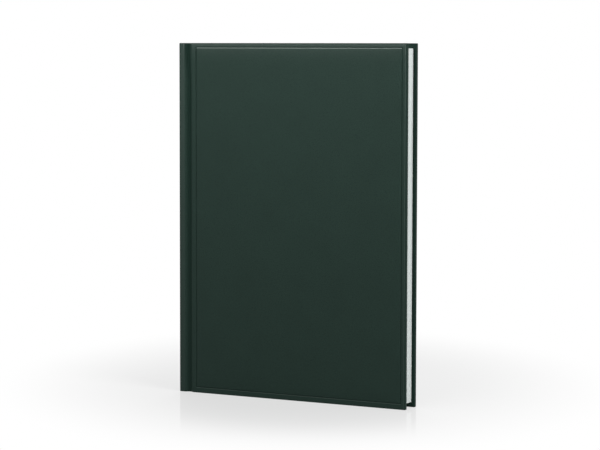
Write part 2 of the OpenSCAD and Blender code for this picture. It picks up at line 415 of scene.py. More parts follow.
def painted_shading_and_burnish(case, offset, height):
    """Painted light and shade on the leatherette, with the line's burnish: 1 where it is painted
    lighter and -1 where it is painted darker or burnished. The groove gets painted shade, stronger
    towards the head, and the line is darkened partly as real burnish and partly as painted shade. The
    strip beside the spine gets painted light and the lip of the line that faces the head a painted
    highlight, both stronger towards the head than the tail, with a painted sheen on both sides of the
    line at the head. Along the head and the fore-edge the shoulder gets a painted highlight and the
    corner outside it painted shade."""
    step = 0.02 * MM
    shoulder_in, shoulder_reach = 0.95 * MM, 0.4 * MM
    head_sheen_reach, corner_reach = 3.2 * MM, 0.2 * MM
    # Share of the line's darkening, which is partly real burnish and partly painted shade.
    line_burnish_and_shade = 0.45
    line = line_share(case, offset, height)
    rise = line_share(case, offset, height + step) - line_share(case, offset, height - step)
    # Painted highlight on the lip of the line that faces the head, stronger towards the head.
    lip = np.clip(rise * case.line_reach / (np.pi * step), 0, 1) * towards_head(height, 0.3)
    # Painted shade in the groove, stronger towards the head.
    groove = groove_share(case, offset, height) * towards_head(height, 0.62)
    # The groove's painted shade, or the line's burnish and painted shade except on its lip.
    pressed = np.maximum(groove, line_burnish_and_shade * line * (1 - lip))
    # Painted light on the strip beside the spine.
    strip = np.where(offset < case.floor_start, case.strip_rub, 0)
    to_edge = np.minimum(COVER_W - offset, COVER_H - height)
    # Painted highlight on the shoulder beside the head and the fore-edge.
    shoulder = case.rim_rub * (1 - ease(np.abs(to_edge - shoulder_in) / shoulder_reach))
    to_head_line = COVER_H - case.line_head - height
    # Painted sheen on both sides of the line at the head, fading down the panel.
    painted_head_sheen = case.head_rub * np.exp(-np.maximum(to_head_line, 0) / head_sheen_reach)
    # Painted shade on the corner beside the head and the fore-edge.
    corner = case.corner_press * (1 - ease((to_edge - case.edge_radius) / corner_reach))
    # Painted light on the strip and the shoulder, stronger towards the head, and the painted sheen at the
    # head, held back where the groove or line is darkened.
    rubbed = ((strip + shoulder) * towards_head(height, 0.35) + painted_head_sheen) * (1 - pressed)
    return rubbed + case.lip_rub * lip - np.maximum(pressed, corner)


def turn_in_depth(case, offset, height):
    """Depth of the turned-in leatherette's outer face: doubled up under the groove's near half, then
    straight from the hinge to the board's inner face."""
    doubled = groove_depth_at(case, np.minimum(offset, HINGE_X), height) + 2 * SKIN_T
    t = np.clip((offset - HINGE_X) / (BOARD_START - HINGE_X), 0, 1)
    return doubled + (TURN_IN_DEPTH - doubled) * t


def edge_profile(case):
    """The roll round an edge: a quarter turn at the outer edge, the edge face, a quarter turn at the
    inner edge and the turned-in flap. Each step pairs an outward offset with a depth, which is the
    face that it counts from and a share of that edge's radius."""
    radius, inner_radius = case.edge_radius, case.inner_radius
    angles = np.linspace(0, np.pi / 2, 7)[1:]
    outer = [(radius * math.sin(a), ("outer", 1 - math.cos(a))) for a in angles]
    inner = [(radius - inner_radius * (1 - math.cos(a)), ("inner", 1 - math.sin(a))) for a in angles]
    flap_width = case.turn_in - radius
    flap = [(-flap_width * s, ("inner", 0.0)) for s in (0.06, 0.2, 0.45, 0.75, 1.0)]
    edge_face = [(radius, ("inner", 1.0))]
    return outer + edge_face + inner + flap


def profile_depth(case, step, outer_depth, inner_depth):
    """Depth of one step of the edge profile, with each radius at most half the room between the
    outer and the inner face."""
    side, share = step
    room = (inner_depth - outer_depth) / 2
    if side == "outer":
        return outer_depth + np.minimum(case.edge_radius, room) * share
    return inner_depth - np.minimum(case.inner_radius, room) * share


def cover_leatherette(case, name, material, back):
    """The leatherette of one cover as a sheet: a grid over the outer face, and rings that carry its
    tail, fore-edge and head round the board. A ring moves the grid's border outwards, or inwards by
    clipping it to a smaller rectangle, which makes the mitres at the two corners."""
    low_x, high_x, low_z, high_z = frame_line(case)
    near, pad = 1.2 * case.line_reach, 3 * case.pad_reach
    far_x, far_z = COVER_W - case.edge_radius, COVER_H - case.edge_radius
    xs = joined(
        [case.seam, case.groove_end, low_x - near, low_x + near, low_x + pad, high_x - pad, high_x - near,
         high_x + near, far_x],
        [36, 6, 12, 20, 24, 20, 12, 7],
    )
    zs = joined(
        [case.edge_radius, low_z - near, low_z + near, low_z + pad, high_z - case.drift_reach, high_z - pad,
         high_z - near, high_z + near, far_z],
        [7, 12, 20, 34, 12, 20, 12, 6],
    )
    offset, height = np.meshgrid(xs, zs, indexing="ij")
    face = placed(offset, cover_depth(case, offset, height), height, back)

    corner = np.linspace(0, np.pi / 2, 7)
    level, turns, upright = len(xs) - 1, len(corner), len(zs) - 2
    border_x = np.concatenate([xs[:-1], np.full(upright + 2 * turns, xs[-1]), xs[:-1][::-1]])
    border_z = np.concatenate([np.full(level + turns, zs[0]), zs[1:-1], np.full(turns + level, zs[-1])])
    turn = np.concatenate([np.full(level, -np.pi / 2), corner - np.pi / 2, np.zeros(upright),
                           corner, np.full(level, np.pi / 2)])
    outer = cover_depth(case, border_x, border_z)
    inner = turn_in_depth(case, border_x, border_z)
    rings = [placed(border_x, outer, border_z, back)]
    lengths = [np.zeros_like(border_x)]
    for outward, step in edge_profile(case):
        if outward >= 0:
            x = border_x + outward * np.cos(turn)
            z = border_z + outward * np.sin(turn)
        else:
            x = np.minimum(border_x, far_x + outward)
            z = np.clip(border_z, case.edge_radius - outward, far_z + outward)
        ring = placed(x, profile_depth(case, step, outer, inner), z, back)
        lengths.append(lengths[-1] + np.linalg.norm(ring - rings[-1], axis=-1))
        rings.append(ring)
    rings, lengths = np.array(rings), np.array(lengths)
    ring_uv = flat_pairs(border_x + lengths * np.cos(turn), border_z + lengths * np.sin(turn))
    uv = np.concatenate([flat_pairs(offset, height), ring_uv])
    if back:
        spine_width = lengths_along(spine_paths(case)[0])[-1]
        uv[:, 0] = 2 * case.seam - spine_width - uv[:, 0]
    points = np.concatenate([face.reshape(-1, 3), rings.reshape(-1, 3)])
    # Painted shade round the turned edges and on the turn-ins, half strength where the roll starts and full
    # past the edge's radius.
    turned = (0.5 + 0.5 * ease(lengths / case.edge_radius)) * case.edge_press
    edge_painted_shading = painted_shading_and_burnish(case, border_x, border_z) * (1 - turned) - turned
    shading_and_burnish = np.concatenate([painted_shading_and_burnish(case, offset, height).ravel(), edge_painted_shading.ravel()])
    faces = np.concatenate([quads(len(xs), len(zs)), quads(len(rings), len(border_x)) + offset.size])
    piece = new_piece(name, points, faces, uv, material, turned=not back, shading_and_burnish=shading_and_burnish)
    thicken(piece, SKIN_T)
    return piece


def spine_paths(case):
    """The section of the spine's leatherette from one seam round to the other, and the path of the
    turned-in part behind the spine board. Both have the same number of points."""
    r, seam, drop = case.spine_radius, case.seam, case.spine_drop
    arc = np.linspace(0, np.pi / 2, 9)[1:]
    strip_x = np.linspace(seam, r, 12)
    strip = np.stack([strip_x, drop + case.spine_crown * ((seam - strip_x) / (seam - r)) ** 2], axis=-1)
    edge = drop + case.spine_crown + r
    corner = np.stack([r - r * np.sin(arc), edge - r * np.cos(arc)], axis=-1)
    wall = np.linspace(edge, COVER_T / 2, 9)[1:]
    half = np.concatenate([strip, corner, np.stack([np.zeros(len(wall)), wall], axis=-1)])
    inner_corner = np.array([SPINE_BOARD_IN + SKIN_T, drop + 2 * SKIN_T])
    turn = len(strip) + len(corner) // 2
    along = np.linspace(0, 1, turn)[:, None]
    down = np.linspace(0, 1, len(half) - turn + 1)[1:, None]
    inner_half = np.concatenate([
        np.array([seam, drop + 2 * SKIN_T]) * (1 - along) + inner_corner * along,
        inner_corner * (1 - down) + np.array([inner_corner[0], COVER_T / 2]) * down,
    ])
    whole = []
    for path in (half, inner_half):
        other = path[:-1][::-1] * [1, -1] + [0, COVER_T]
        whole.append(np.concatenate([path, other]))
    return whole


def lengths_along(path):
    """The distance from a path's first point to each of its points, along the path."""
    return np.concatenate([[0], np.cumsum(np.linalg.norm(np.diff(path, axis=0), axis=-1))])


def spine_wear(case, along, height):
    """The painted light and shade along the spine's section: painted light on the strip, stronger
    towards the head than the tail, and painted shade round each outer corner."""
    strip_end = case.seam - case.spine_radius
    from_end = np.minimum(along, along[-1] - along)
    corner_middle = strip_end + case.spine_radius * math.pi / 4
    # Width and strength of the painted shade round each outer corner of the spine.
    corner_reach, corner_press = 1.6 * case.spine_radius, 0.6
    near_corner = 1 - ease(np.abs(from_end - corner_middle) / corner_reach)
    return case.strip_rub * towards_head(height, 0.35) * (1 - near_corner) - corner_press * near_corner


def spine_leatherette(case, name, material):
    """The leatherette round the spine: its section carried from tail to head, rolled over the spine
    board's ends and down its inner face."""
    outer, inner = spine_paths(case)
    gap = np.linalg.norm(inner - outer, axis=-1)
    head = []
    for outward, step in edge_profile(case):
        rolled = profile_depth(case, step, np.zeros_like(gap), gap)
        point = outer + (inner - outer) * (rolled / gap)[:, None]
        head.append((point, COVER_H - case.edge_radius + outward))
    middle = [(outer, z) for z in np.linspace(case.edge_radius, COVER_H - case.edge_radius, 34)]
    tail = [(point, COVER_H - z) for point, z in head][::-1]
    rows = tail + middle + head
    points = np.array([placed(p[:, 0], p[:, 1], z) for p, z in rows])
    along, up = lengths_along(outer), lengths_along(points[:, 0])
    up = up - up[len(tail)] + case.edge_radius
    u, v = np.meshgrid(case.seam - along, up)
    piece = new_piece(
        name, points, quads(*points.shape[:2]), flat_pairs(u, v), material,
        turned=True, shading_and_burnish=spine_wear(case, along, points[..., 2]).ravel(),
    )
    thicken(piece, SKIN_T)
    return piece


def foam_pad(case, name, material, back):
    """The foam under a cover's leatherette: an outer face one skin below the leatherette's, a flat
    inner face on the board, and between them a rim that is half an ellipse in section."""
    board_out = BOARD_LOW.y - CAD_LOW.y
    line_low_x, line_high_x, line_low_z, line_high_z = frame_line(case)
    rim, thinnest = 0.35 * MM, 0.1 * MM
    near, pad = 1.4 * case.line_reach, 3 * case.pad_reach

    def spread(low, line_low, line_high, high, middle):
        """Points from one rim to the other, closest beside the line."""
        stops = [low + rim, line_low - near, line_low + near, line_low + pad,
                 line_high - pad, line_high - near, line_high + near, high - rim]
        return joined(stops, [5, 8, 10, middle, 10, 8, 4])

    xs = spread(BOARD_START, line_low_x, line_high_x, COVER_W - SKIN_T, 14)
    zs = spread(SKIN_T, line_low_z, line_high_z, COVER_H - SKIN_T, 20)
    offset, height = np.meshgrid(xs, zs, indexing="ij")
    outer = np.minimum(cover_depth(case, offset, height) + SKIN_T, board_out - thinnest)
    top = placed(offset, outer, height, back).reshape(-1, 3)
    bottom = placed(offset, np.full_like(offset, board_out), height, back).reshape(-1, 3)
    i = np.arange(offset.size).reshape(offset.shape)
    border = np.concatenate([i[:-1, 0], i[-1, :-1], i[1:, -1][::-1], i[0, 1:][::-1]])
    flat_x, flat_z, flat_outer = offset.ravel()[border], height.ravel()[border], outer.ravel()[border]
    out_x = np.where(flat_x == xs[0], -1, 0) + (flat_x == xs[-1])
    out_z = np.where(flat_z == zs[0], -1, 0) + (flat_z == zs[-1])
    half = (board_out - flat_outer) / 2
    rows, points = [border], [top, bottom]
    for angle in np.linspace(0, np.pi, 7)[1:-1]:
        rows.append(sum(len(p) for p in points) + np.arange(len(border)))
        points.append(placed(
            flat_x + rim * np.sin(angle) * out_x, flat_outer + half * (1 - np.cos(angle)),
            flat_z + rim * np.sin(angle) * out_z, back,
        ))
    rows.append(border + len(top))
    face = quads(len(xs), len(zs))
    faces = np.concatenate([face, face[:, ::-1] + len(top), ring_quads(np.array(rows))])
    points = np.concatenate(points)
    return new_piece(name, points, faces, points[:, [0, 2]], material, turned=not back)


def pastedown_depth(case, paper, offset, height):
    """Depth of the glued face of the endpaper: straight down and up through the groove, level over
    the turned-in edges and hinge cloth, and one skin lower on the bare board between them."""
    to_hinge = np.clip((offset - PAGE_START) / (HINGE_X - PAGE_START), 0, 1)
    to_board = np.clip((offset - HINGE_X) / (BOARD_START - HINGE_X), 0, 1)
    level = TURN_IN_DEPTH + (BEND_DEPTH - TURN_IN_DEPTH) * (to_hinge - to_board)
    step = paper.step_width
    sunk = ease((offset - GAUZE_END) / step) * ease((COVER_W - case.turn_in - offset) / step)
    sunk = sunk * ease((height - case.turn_in) / step) * ease((COVER_H - case.turn_in - height) / step)
    return level - SKIN_T * sunk


def pastedown_sheet(case, paper, name, material, back):
    """The glued leaf of an endpaper with its strip through the groove, as a grid from the fold at the
    pages' back to the fore-edge."""
    step, turn_in = paper.step_width, case.turn_in
    xs = joined(
        [PAGE_START, HINGE_X, BOARD_START, GAUZE_END, GAUZE_END + step, COVER_W - turn_in - step,
         COVER_W - turn_in, PAGE_END],
        [5, 12, 8, 6, 24, 6, 6],
    )
    zs = joined(
        [PAGES_LOW.z, turn_in, turn_in + step, COVER_H - turn_in - step, COVER_H - turn_in, PAGES_HIGH.z],
        [5, 6, 40, 6, 5],
    )

    def depth_at(offset, height):
        return pastedown_depth(case, paper, offset, height) + PAPER_T

    return sheet_piece(name, xs, zs, depth_at, PAPER_T, material, back)


def gauze_sheet(case, name, material, back):
    """The hinge cloth glued to a board, as a grid from the hinge: straight from the groove's floor to
    the board's inner face, then level."""
    xs = joined([HINGE_X, BOARD_START, GAUZE_END], [14, 12])
    zs = np.linspace(GAUZE_LOW.z, GAUZE_HIGH.z, 40)
    floor_in = case.groove_depth + SKIN_T

    def depth_at(offset, height):
        to_board = np.clip((offset - HINGE_X) / (BOARD_START - HINGE_X), 0, 1)
        return floor_in + (BOARD_IN - floor_in) * to_board + GAUZE_T

    return sheet_piece(name, xs, zs, depth_at, GAUZE_T, material, back)


def flyleaf_sheet(name, material, back):
    """The free leaf of an endpaper. It lies flat on the pages and ends in the first quarter of the
    fold at their back."""
    fold = np.linspace(0, np.pi / 2, 5)
    fold_x = PAGE_START + PAPER_T * (1 - np.sin(fold))
    fold_depth = FLYLEAF_IN - PAPER_T - PAPER_T * (1 - np.cos(fold)) / 2
    xs = np.concatenate([np.linspace(PAGE_END, PAGE_START + 2 * PAPER_T, 40), fold_x])
    depth = np.concatenate([np.full(40, FLYLEAF_IN - PAPER_T), fold_depth])
    zs = np.linspace(PAGES_LOW.z, PAGES_HIGH.z, 40)

    def depth_at(offset, height):
        return depth[:, None]

    return sheet_piece(name, xs, zs, depth_at, PAPER_T, material, back)


def page_stack(paper, name, material):
    """The pages as outlines stacked across their thickness. Each band of leaves is cut a little
    shorter or longer than the next, and a notch parts each section from its neighbour."""
    rng = np.random.default_rng(TRIM_SEED)
    bands = paper.leaf_bands
    trim = rng.uniform(-1, 0, (bands, 3)) * paper.trim_error
    ridge = np.arange(bands) % paper.leaves_in_section == 0
    trim[ridge] -= paper.section_notch
    edges = np.linspace(PAGES_LOW.y, PAGES_HIGH.y, bands + 1)
    ys = np.stack([edges[:-1], edges[1:]], axis=-1).ravel()
    fore, head, tail = np.repeat(trim, 2, axis=0).T
    low_x, width = PAGES_LOW.x, PAGES_HIGH.x + fore - PAGES_LOW.x
    low_z, tall = (PAGES_LOW.z - tail)[:, None], PAGES_HIGH.z + head - PAGES_LOW.z + tail
    along = np.linspace(0, 1, 9)[:-1]
    ones, none = np.ones_like(along), np.zeros_like(along)
    rings_x = np.outer(width, np.concatenate([along, ones, 1 - along, none])) + low_x
    rings_z = np.outer(tall, np.concatenate([none, along, ones, 1 - along])) + low_z
    points = np.stack([rings_x, np.broadcast_to(ys[:, None], rings_x.shape), rings_z], axis=-1)
    sides = ring_quads(np.arange(rings_x.size).reshape(rings_x.shape))
    uv = flat_pairs(points[..., 0] + points[..., 2], points[..., 1])
    piece = new_piece(name, points, sides, uv, material, turned=True)
    close_ends(piece.data)
    piece.data.shade_flat()
    return piece


def headband_piece(paper, name, material, tail):
    """A headband: a bead across the back of the pages, and the flat tape that glues it on. The bead
    is one closed tube from cover to cover, whose radius swells as |sin| of half the thread's turn."""
    node_low, node_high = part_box("tailband" if tail else "headband")
    width = node_high.y - node_low.y
    bead = paper.bead_radius
    turns, end_share, end_points = 26, 0.02, 6
    round_share, end_radius_squared = 0.08, 0.02
    across = np.concatenate([
        np.linspace(0, end_share, end_points, endpoint=False),
        np.linspace(end_share, 1 - end_share, turns * 8),
        np.linspace(1 - end_share, 1, end_points + 1)[1:],
    ])
    angle = np.linspace(0, 2 * np.pi, 25)[:-1]
    into_end = np.clip(np.abs(across - 0.5) * 2 - (1 - round_share), 0, None) / round_share
    cap = np.sqrt(np.clip(1 - into_end ** 2, end_radius_squared, 1))
    y, a = np.meshgrid(node_low.y + across * width, angle, indexing="ij")
    phase = 2 * np.pi * turns * across[:, None] + a
    radius = (bead - paper.thread_rise * (1 - np.abs(np.sin(phase / 2)))) * cap[:, None]
    sign = -1 if tail else 1
    centre_z = (PAGES_LOW.z if tail else PAGES_HIGH.z) + sign * bead
    x, z = PAGES_LOW.x + radius * np.cos(a), centre_z + sign * radius * np.sin(a)
    faces = ring_quads(np.arange(a.size).reshape(a.shape))
    uv = flat_pairs(y - node_low.y, a * bead)
    piece = new_piece(name, np.stack([x, y, z], axis=-1), faces, uv, material, turned=tail)
    close_ends(piece.data)

    tape_t = 0.3 * MM
    tape_y = np.linspace(node_low.y, node_high.y, 12)
    tape_z = np.linspace(centre_z, centre_z - sign * (paper.tape_height + bead), 14)
    y, z = np.meshgrid(tape_y, tape_z, indexing="ij")
    front = np.stack([np.full_like(y, PAGES_LOW.x - tape_t), y, z], axis=-1)
    uv = flat_pairs(y - node_low.y, z)
    tape = new_piece(name + "_tape", front, quads(*y.shape), uv, material, turned=not tail)
    thicken(tape, tape_t)
    return piece, tape


def node_of(tree, kind, inputs=None, **settings):
    """Adds a shader node, sets its properties, and then links or sets its inputs by name or number."""
    node = tree.nodes.new(kind)
    for key, value in settings.items():
        setattr(node, key, value)
    for key, value in (inputs or {}).items():
        if isinstance(value, bpy.types.NodeSocket):
            tree.links.new(value, node.inputs[key])
        else:
            node.inputs[key].default_value = value
    return node


def math_node(tree, operation, first, second=0.0, clamp=False):
    """A Math node whose two inputs are sockets or numbers. Returns its output."""
    inputs = {0: first, 1: second}
    return node_of(tree, "ShaderNodeMath", inputs, operation=operation, use_clamp=clamp).outputs[0]


def product(tree, first, second):
    """Two sockets or numbers multiplied."""
    return math_node(tree, "MULTIPLY", first, second)


def mixed_colour(tree, factor, first, second):
    """A Mix node between two colours, each a socket or a plain colour. Returns its output."""
    return node_of(tree, "ShaderNodeMix", {0: factor, 6: first, 7: second}, data_type="RGBA").outputs[2]


def mixed_shader(tree, factor, first, second):
    """A Mix Shader node between the outputs of two shader nodes."""
    return node_of(tree, "ShaderNodeMixShader", {0: factor, 1: first.outputs[0], 2: second.outputs[0]})


def shade(colour, factor=1.0):
    """A linear colour with its alpha, made darker or lighter by a factor."""
    return (*(min(1.0, c * factor) for c in colour), 1.0)


def group_of(name, amount_name, amount, outputs):
    """An empty shader node group that takes a vector and a number, and its two end nodes."""
    tree = bpy.data.node_groups.new(name, "ShaderNodeTree")
    tree.interface.new_socket(name="Vector", in_out="INPUT", socket_type="NodeSocketVector")
    number = tree.interface.new_socket(name=amount_name, in_out="INPUT", socket_type="NodeSocketFloat")
    number.default_value = amount
    for label in outputs:
        tree.interface.new_socket(name=label, in_out="OUTPUT", socket_type="NodeSocketFloat")
    return tree, tree.nodes.new("NodeGroupInput"), tree.nodes.new("NodeGroupOutput")


def link_out(tree, end, **sockets):
    """Links sockets to a group's outputs by name."""
    for name, socket in sockets.items():
        tree.links.new(socket, end.inputs[name])


def scaled_vector(tree, start):
    """A group's vector multiplied by its second input, a number of cells or threads in a metre."""
    inputs = {0: start.outputs["Vector"], "Scale": start.outputs[1]}
    return node_of(tree, "ShaderNodeVectorMath", inputs, operation="SCALE").outputs[0]


def noise(tree, vector, scale, detail, roughness=0.5, distortion=0.0):
    """A Noise Texture node's grey value."""
    inputs = {"Vector": vector, "Scale": scale, "Detail": detail, "Roughness": roughness,
              "Distortion": distortion}
    return node_of(tree, "ShaderNodeTexNoise", inputs).outputs[0]


def sharpened(tree, value, low, high):
    """A value stretched so that it runs from 0 to 1 between two of its own values."""
    return node_of(tree, "ShaderNodeMapRange", {0: value, "From Min": low, "From Max": high}).outputs[0]


def pebble_grain():
    """Fine pebbled grain: cells of a given size with soft valleys between them, and a slow mottle."""
    outputs = ("Height", "Valley", "Mottle")
    tree, start, end = group_of("pebble_grain", "Cells per metre", 1800.0, outputs)
    scaled = scaled_vector(tree, start)
    warp = node_of(tree, "ShaderNodeTexNoise", {"Vector": scaled, "Scale": 0.7, "Detail": 2.0})
    moved = {0: scaled, 1: warp.outputs["Color"]}
    offset = node_of(tree, "ShaderNodeVectorMath", moved, operation="ADD").outputs[0]
    cells = node_of(
        tree, "ShaderNodeTexVoronoi", {"Vector": offset, "Scale": 1.0, "Smoothness": 0.35},
        feature="SMOOTH_F1",
    ).outputs["Distance"]
    fine = noise(tree, scaled, 2.6, 3.0, 0.6)
    dome = math_node(tree, "SUBTRACT", 1.0, cells, clamp=True)
    link_out(
        tree, end, Height=math_node(tree, "ADD", dome, product(tree, fine, 0.35)),
        Valley=sharpened(tree, cells, 0.45, 0.85), Mottle=noise(tree, scaled, 0.022, 3.0),
    )
    return tree


def paper_fibre():
    """Paper and board fibres: short streaks at two scales, as a tone from 0 to 1 and a height."""
    tree, start, end = group_of("paper_fibre", "Fibres per metre", 1500.0, ("Tone", "Height"))
    scaled = scaled_vector(tree, start)
    streaks = noise(tree, scaled, 1.0, 4.0, 0.65, 1.2)
    clouds = noise(tree, scaled, 0.04, 3.0)
    tone = math_node(tree, "ADD", product(tree, streaks, 0.6), product(tree, clouds, 0.4))
    link_out(tree, end, Tone=tone, Height=streaks)
    return tree


def plain_weave():
    """A plain weave: two sets of threads as sine ridges, each over the other in turn."""
    tree, start, end = group_of("plain_weave", "Threads per metre", 1600.0, ("Height", "Gap"))
    parts = node_of(tree, "ShaderNodeSeparateXYZ", {0: scaled_vector(tree, start)}).outputs
    warp, weft = (math_node(tree, "SINE", product(tree, parts[axis], math.pi)) for axis in (0, 1))
    warp_ridge, weft_ridge = (math_node(tree, "ABSOLUTE", wave) for wave in (warp, weft))
    over = math_node(tree, "ADD", product(tree, product(tree, warp, weft), 0.5), 0.5)
    inputs = {0: over, 2: warp_ridge, 3: weft_ridge}
    height = node_of(tree, "ShaderNodeMix", inputs, data_type="FLOAT").outputs[0]
    bare = [math_node(tree, "SUBTRACT", 1.0, ridge) for ridge in (warp_ridge, weft_ridge)]
    link_out(tree, end, Height=height, Gap=math_node(tree, "MULTIPLY", *bare, clamp=True))
    return tree


def placed_group(tree, build, vector, amount):
    """A node of the group that a function builds the first time, named after that function, with its
    vector linked and its second input set. Returns its outputs."""
    node = tree.nodes.new("ShaderNodeGroup")
    node.node_tree = bpy.data.node_groups.get(build.__name__) or build()
    tree.links.new(vector, node.inputs[0])
    node.inputs[1].default_value = amount
    return node.outputs


def empty_material(name):
    """A material without nodes, and its node tree."""
    material = bpy.data.materials.new(name)
    material.use_nodes = True
    material.node_tree.nodes.clear()
    return material, material.node_tree


def new_material(name, roughness, specular):
    """A material with a Principled shader whose plain values are set on its own sockets."""
    material, tree = empty_material(name)
    inputs = {"Roughness": roughness, "Specular IOR Level": specular}
    shader = node_of(tree, "ShaderNodeBsdfPrincipled", inputs)
    node_of(tree, "ShaderNodeOutputMaterial", {"Surface": shader.outputs[0]})
    return material, tree, shader


def sheet_vector(tree):
    """The sheet's own flat coordinates, in metres."""
    return node_of(tree, "ShaderNodeUVMap", uv_map="sheet").outputs[0]


def object_vector(tree):
    """Object coordinates, in metres."""
    return tree.nodes.new("ShaderNodeTexCoord").outputs["Object"]


def coloured(tree, shader, colour, height, distance, strength):
    """Links a colour to the shader's base colour, and a height through a Bump node to its normal."""
    tree.links.new(colour, shader.inputs["Base Color"])
    bump = node_of(tree, "ShaderNodeBump", {"Height": height, "Distance": distance, "Strength": strength})
    tree.links.new(bump.outputs[0], shader.inputs["Normal"])


def grained_leatherette(colours):
    """Matte coated cloth: a fine pebbled grain with painted shade in its valleys, and a faint mottle.
    Each point's painted light and shade makes it darker where shade is painted or the line is
    burnished, and lighter where light is painted."""
    material, tree, shader = new_material("grained_leatherette", 0.56, 0.08)
    grain = placed_group(tree, pebble_grain, sheet_vector(tree), 2300.0)
    # Reads each point's painted light and shade, with the line's burnish.
    shading_and_burnish = node_of(tree, "ShaderNodeAttribute", attribute_name="painted_shading_and_burnish").outputs["Fac"]
    # Its negative part: painted shade, and the line's burnish.
    pressed = math_node(tree, "MULTIPLY", shading_and_burnish, -1.0, clamp=True)
    # Its positive part: painted highlight, painted light and painted sheen.
    rubbed = math_node(tree, "MULTIPLY", shading_and_burnish, 1.0, clamp=True)
    base = colours.leatherette
    body = mixed_colour(tree, grain["Mottle"], shade(base, 0.9), shade(base, 1.1))
    # Painted shade in the grain's valleys.
    grained = mixed_colour(tree, grain["Valley"], body, shade(base, 0.72))
    # Painted shade and the line's burnish darken the colour.
    darkened = mixed_colour(tree, pressed, grained, shade(colours.pressed))
    # Painted highlight, painted light and painted sheen lighten the colour.
    colour = mixed_colour(tree, rubbed, darkened, shade(colours.rubbed))
    rough = math_node(tree, "ADD", product(tree, grain["Valley"], 0.1), 0.54)
    tree.links.new(rough, shader.inputs["Roughness"])
    coloured(tree, shader, colour, grain["Height"], 0.00003, 0.6)
    return material


def plain_endpaper(colours):
    """Uncoated white paper with a faint fibre."""
    material, tree, shader = new_material("plain_endpaper", 0.85, 0.25)
    fibre = placed_group(tree, paper_fibre, sheet_vector(tree), 1400.0)
    colour = colours.endpaper
    tone = mixed_colour(tree, fibre["Tone"], shade(colour, 0.94), shade(colour, 1.04))
    coloured(tree, shader, tone, fibre["Height"], 0.00002, 0.35)
    return material


def page_edges(colours):
    """Cut page edges: bands of a few leaves, with a finer line for each leaf inside them, over the
    paper's own fibre. The bands and lines come from noise stretched along the leaves."""
    material, tree, shader = new_material("page_edges", 0.8, 0.25)
    vector = object_vector(tree)
    bands = stretched_noise(tree, vector, 620.0)
    leaves = stretched_noise(tree, vector, 7000.0)
    fibre = placed_group(tree, paper_fibre, vector, 1400.0)
    colour = colours.pages
    banded = mixed_colour(tree, bands, shade(colour, 0.86), shade(colour, 1.04))
    leafed = mixed_colour(tree, product(tree, leaves, 0.5), banded, shade(colour, 0.82))
    toned = mixed_colour(tree, product(tree, fibre["Tone"], 0.12), leafed, shade(colour, 0.9))
    coloured(tree, shader, toned, leaves, 0.00004, 0.5)
    return material


def stretched_noise(tree, vector, per_metre):
    """Noise in thin layers across the pages, sharpened into lines."""
    inputs = {"Vector": vector, "Scale": (4.0, per_metre, 4.0)}
    stretched = node_of(tree, "ShaderNodeMapping", inputs).outputs[0]
    return sharpened(tree, noise(tree, stretched, 1.0, 2.0, 0.6), 0.35, 0.65)


def greyboard(colours):
    """Grey board of recycled fibre, with darker and lighter flecks."""
    material, tree, shader = new_material("greyboard", 0.9, 0.2)
    vector = object_vector(tree)
    fibre = placed_group(tree, paper_fibre, vector, 900.0)
    flecks = node_of(tree, "ShaderNodeTexVoronoi", {"Vector": vector, "Scale": 700.0})
    fleck = sharpened(tree, flecks.outputs["Distance"], 0.16, 0.08)
    colour = colours.greyboard
    tone = mixed_colour(tree, fibre["Tone"], shade(colour, 0.75), shade(colour, 1.25))
    flecked = mixed_colour(tree, product(tree, fleck, 0.5), tone, shade(colour, 0.4))
    coloured(tree, shader, flecked, fibre["Height"], 0.0001, 0.5)
    return material


def open_foam(colours):
    """Fine open foam: small round cells, darker inside."""
    material, tree, shader = new_material("open_foam", 0.95, 0.15)
    cells = node_of(
        tree, "ShaderNodeTexVoronoi",
        {"Vector": object_vector(tree), "Scale": 3200.0, "Smoothness": 0.2}, feature="SMOOTH_F1",
    ).outputs["Distance"]
    tone = mixed_colour(tree, cells, shade(colours.foam, 0.7), shade(colours.foam, 1.05))
    coloured(tree, shader, tone, cells, 0.0001, 0.6)
    return material


def cotton_gauze(colours):
    """Open cotton gauze with stiffened threads."""
    material, tree, shader = new_material("cotton_gauze", 0.9, 0.2)
    inputs = {"Vector": object_vector(tree), "Rotation": (math.pi / 2, 0.0, 0.0)}
    turned = node_of(tree, "ShaderNodeMapping", inputs).outputs[0]
    weave = placed_group(tree, plain_weave, turned, 1100.0)
    tone = mixed_colour(tree, weave["Gap"], shade(colours.cloth, 1.05), shade(colours.cloth, 0.4))
    coloured(tree, shader, tone, weave["Height"], 0.0001, 0.6)
    return material


def headband_thread(colours):
    """Wound thread in two colours, in stripes from a sine across the band, over a fine weave."""
    material, tree, shader = new_material("headband_thread", 0.7, 0.35)
    vector = sheet_vector(tree)
    weave = placed_group(tree, plain_weave, vector, 5200.0)
    stripe_width = 1.5 * MM
    parts = node_of(tree, "ShaderNodeSeparateXYZ", {0: vector}).outputs
    stripe = math_node(tree, "SINE", product(tree, parts[0], 2 * math.pi / stripe_width))
    second = math_node(tree, "GREATER_THAN", stripe, 0.35)
    striped = mixed_colour(tree, second, shade(colours.thread), shade(colours.second_thread))
    gap = product(tree, weave["Gap"], 0.5)
    colour = mixed_colour(tree, gap, striped, shade(colours.thread, 0.4))
    coloured(tree, shader, colour, weave["Height"], 0.00006, 0.6)
    return material


def material_of(build, colours):
    """The material that a function builds the first time, named after that function."""
    return bpy.data.materials.get(build.__name__) or build(colours)


def faded(tree, distance, near, far, at_near, at_far):
    """A value that changes smoothly from one distance to another."""
    inputs = {0: distance, "From Min": near, "From Max": far, "To Min": at_near, "To Max": at_far}
    return node_of(tree, "ShaderNodeMapRange", inputs, interpolation_type="SMOOTHSTEP").outputs[0]


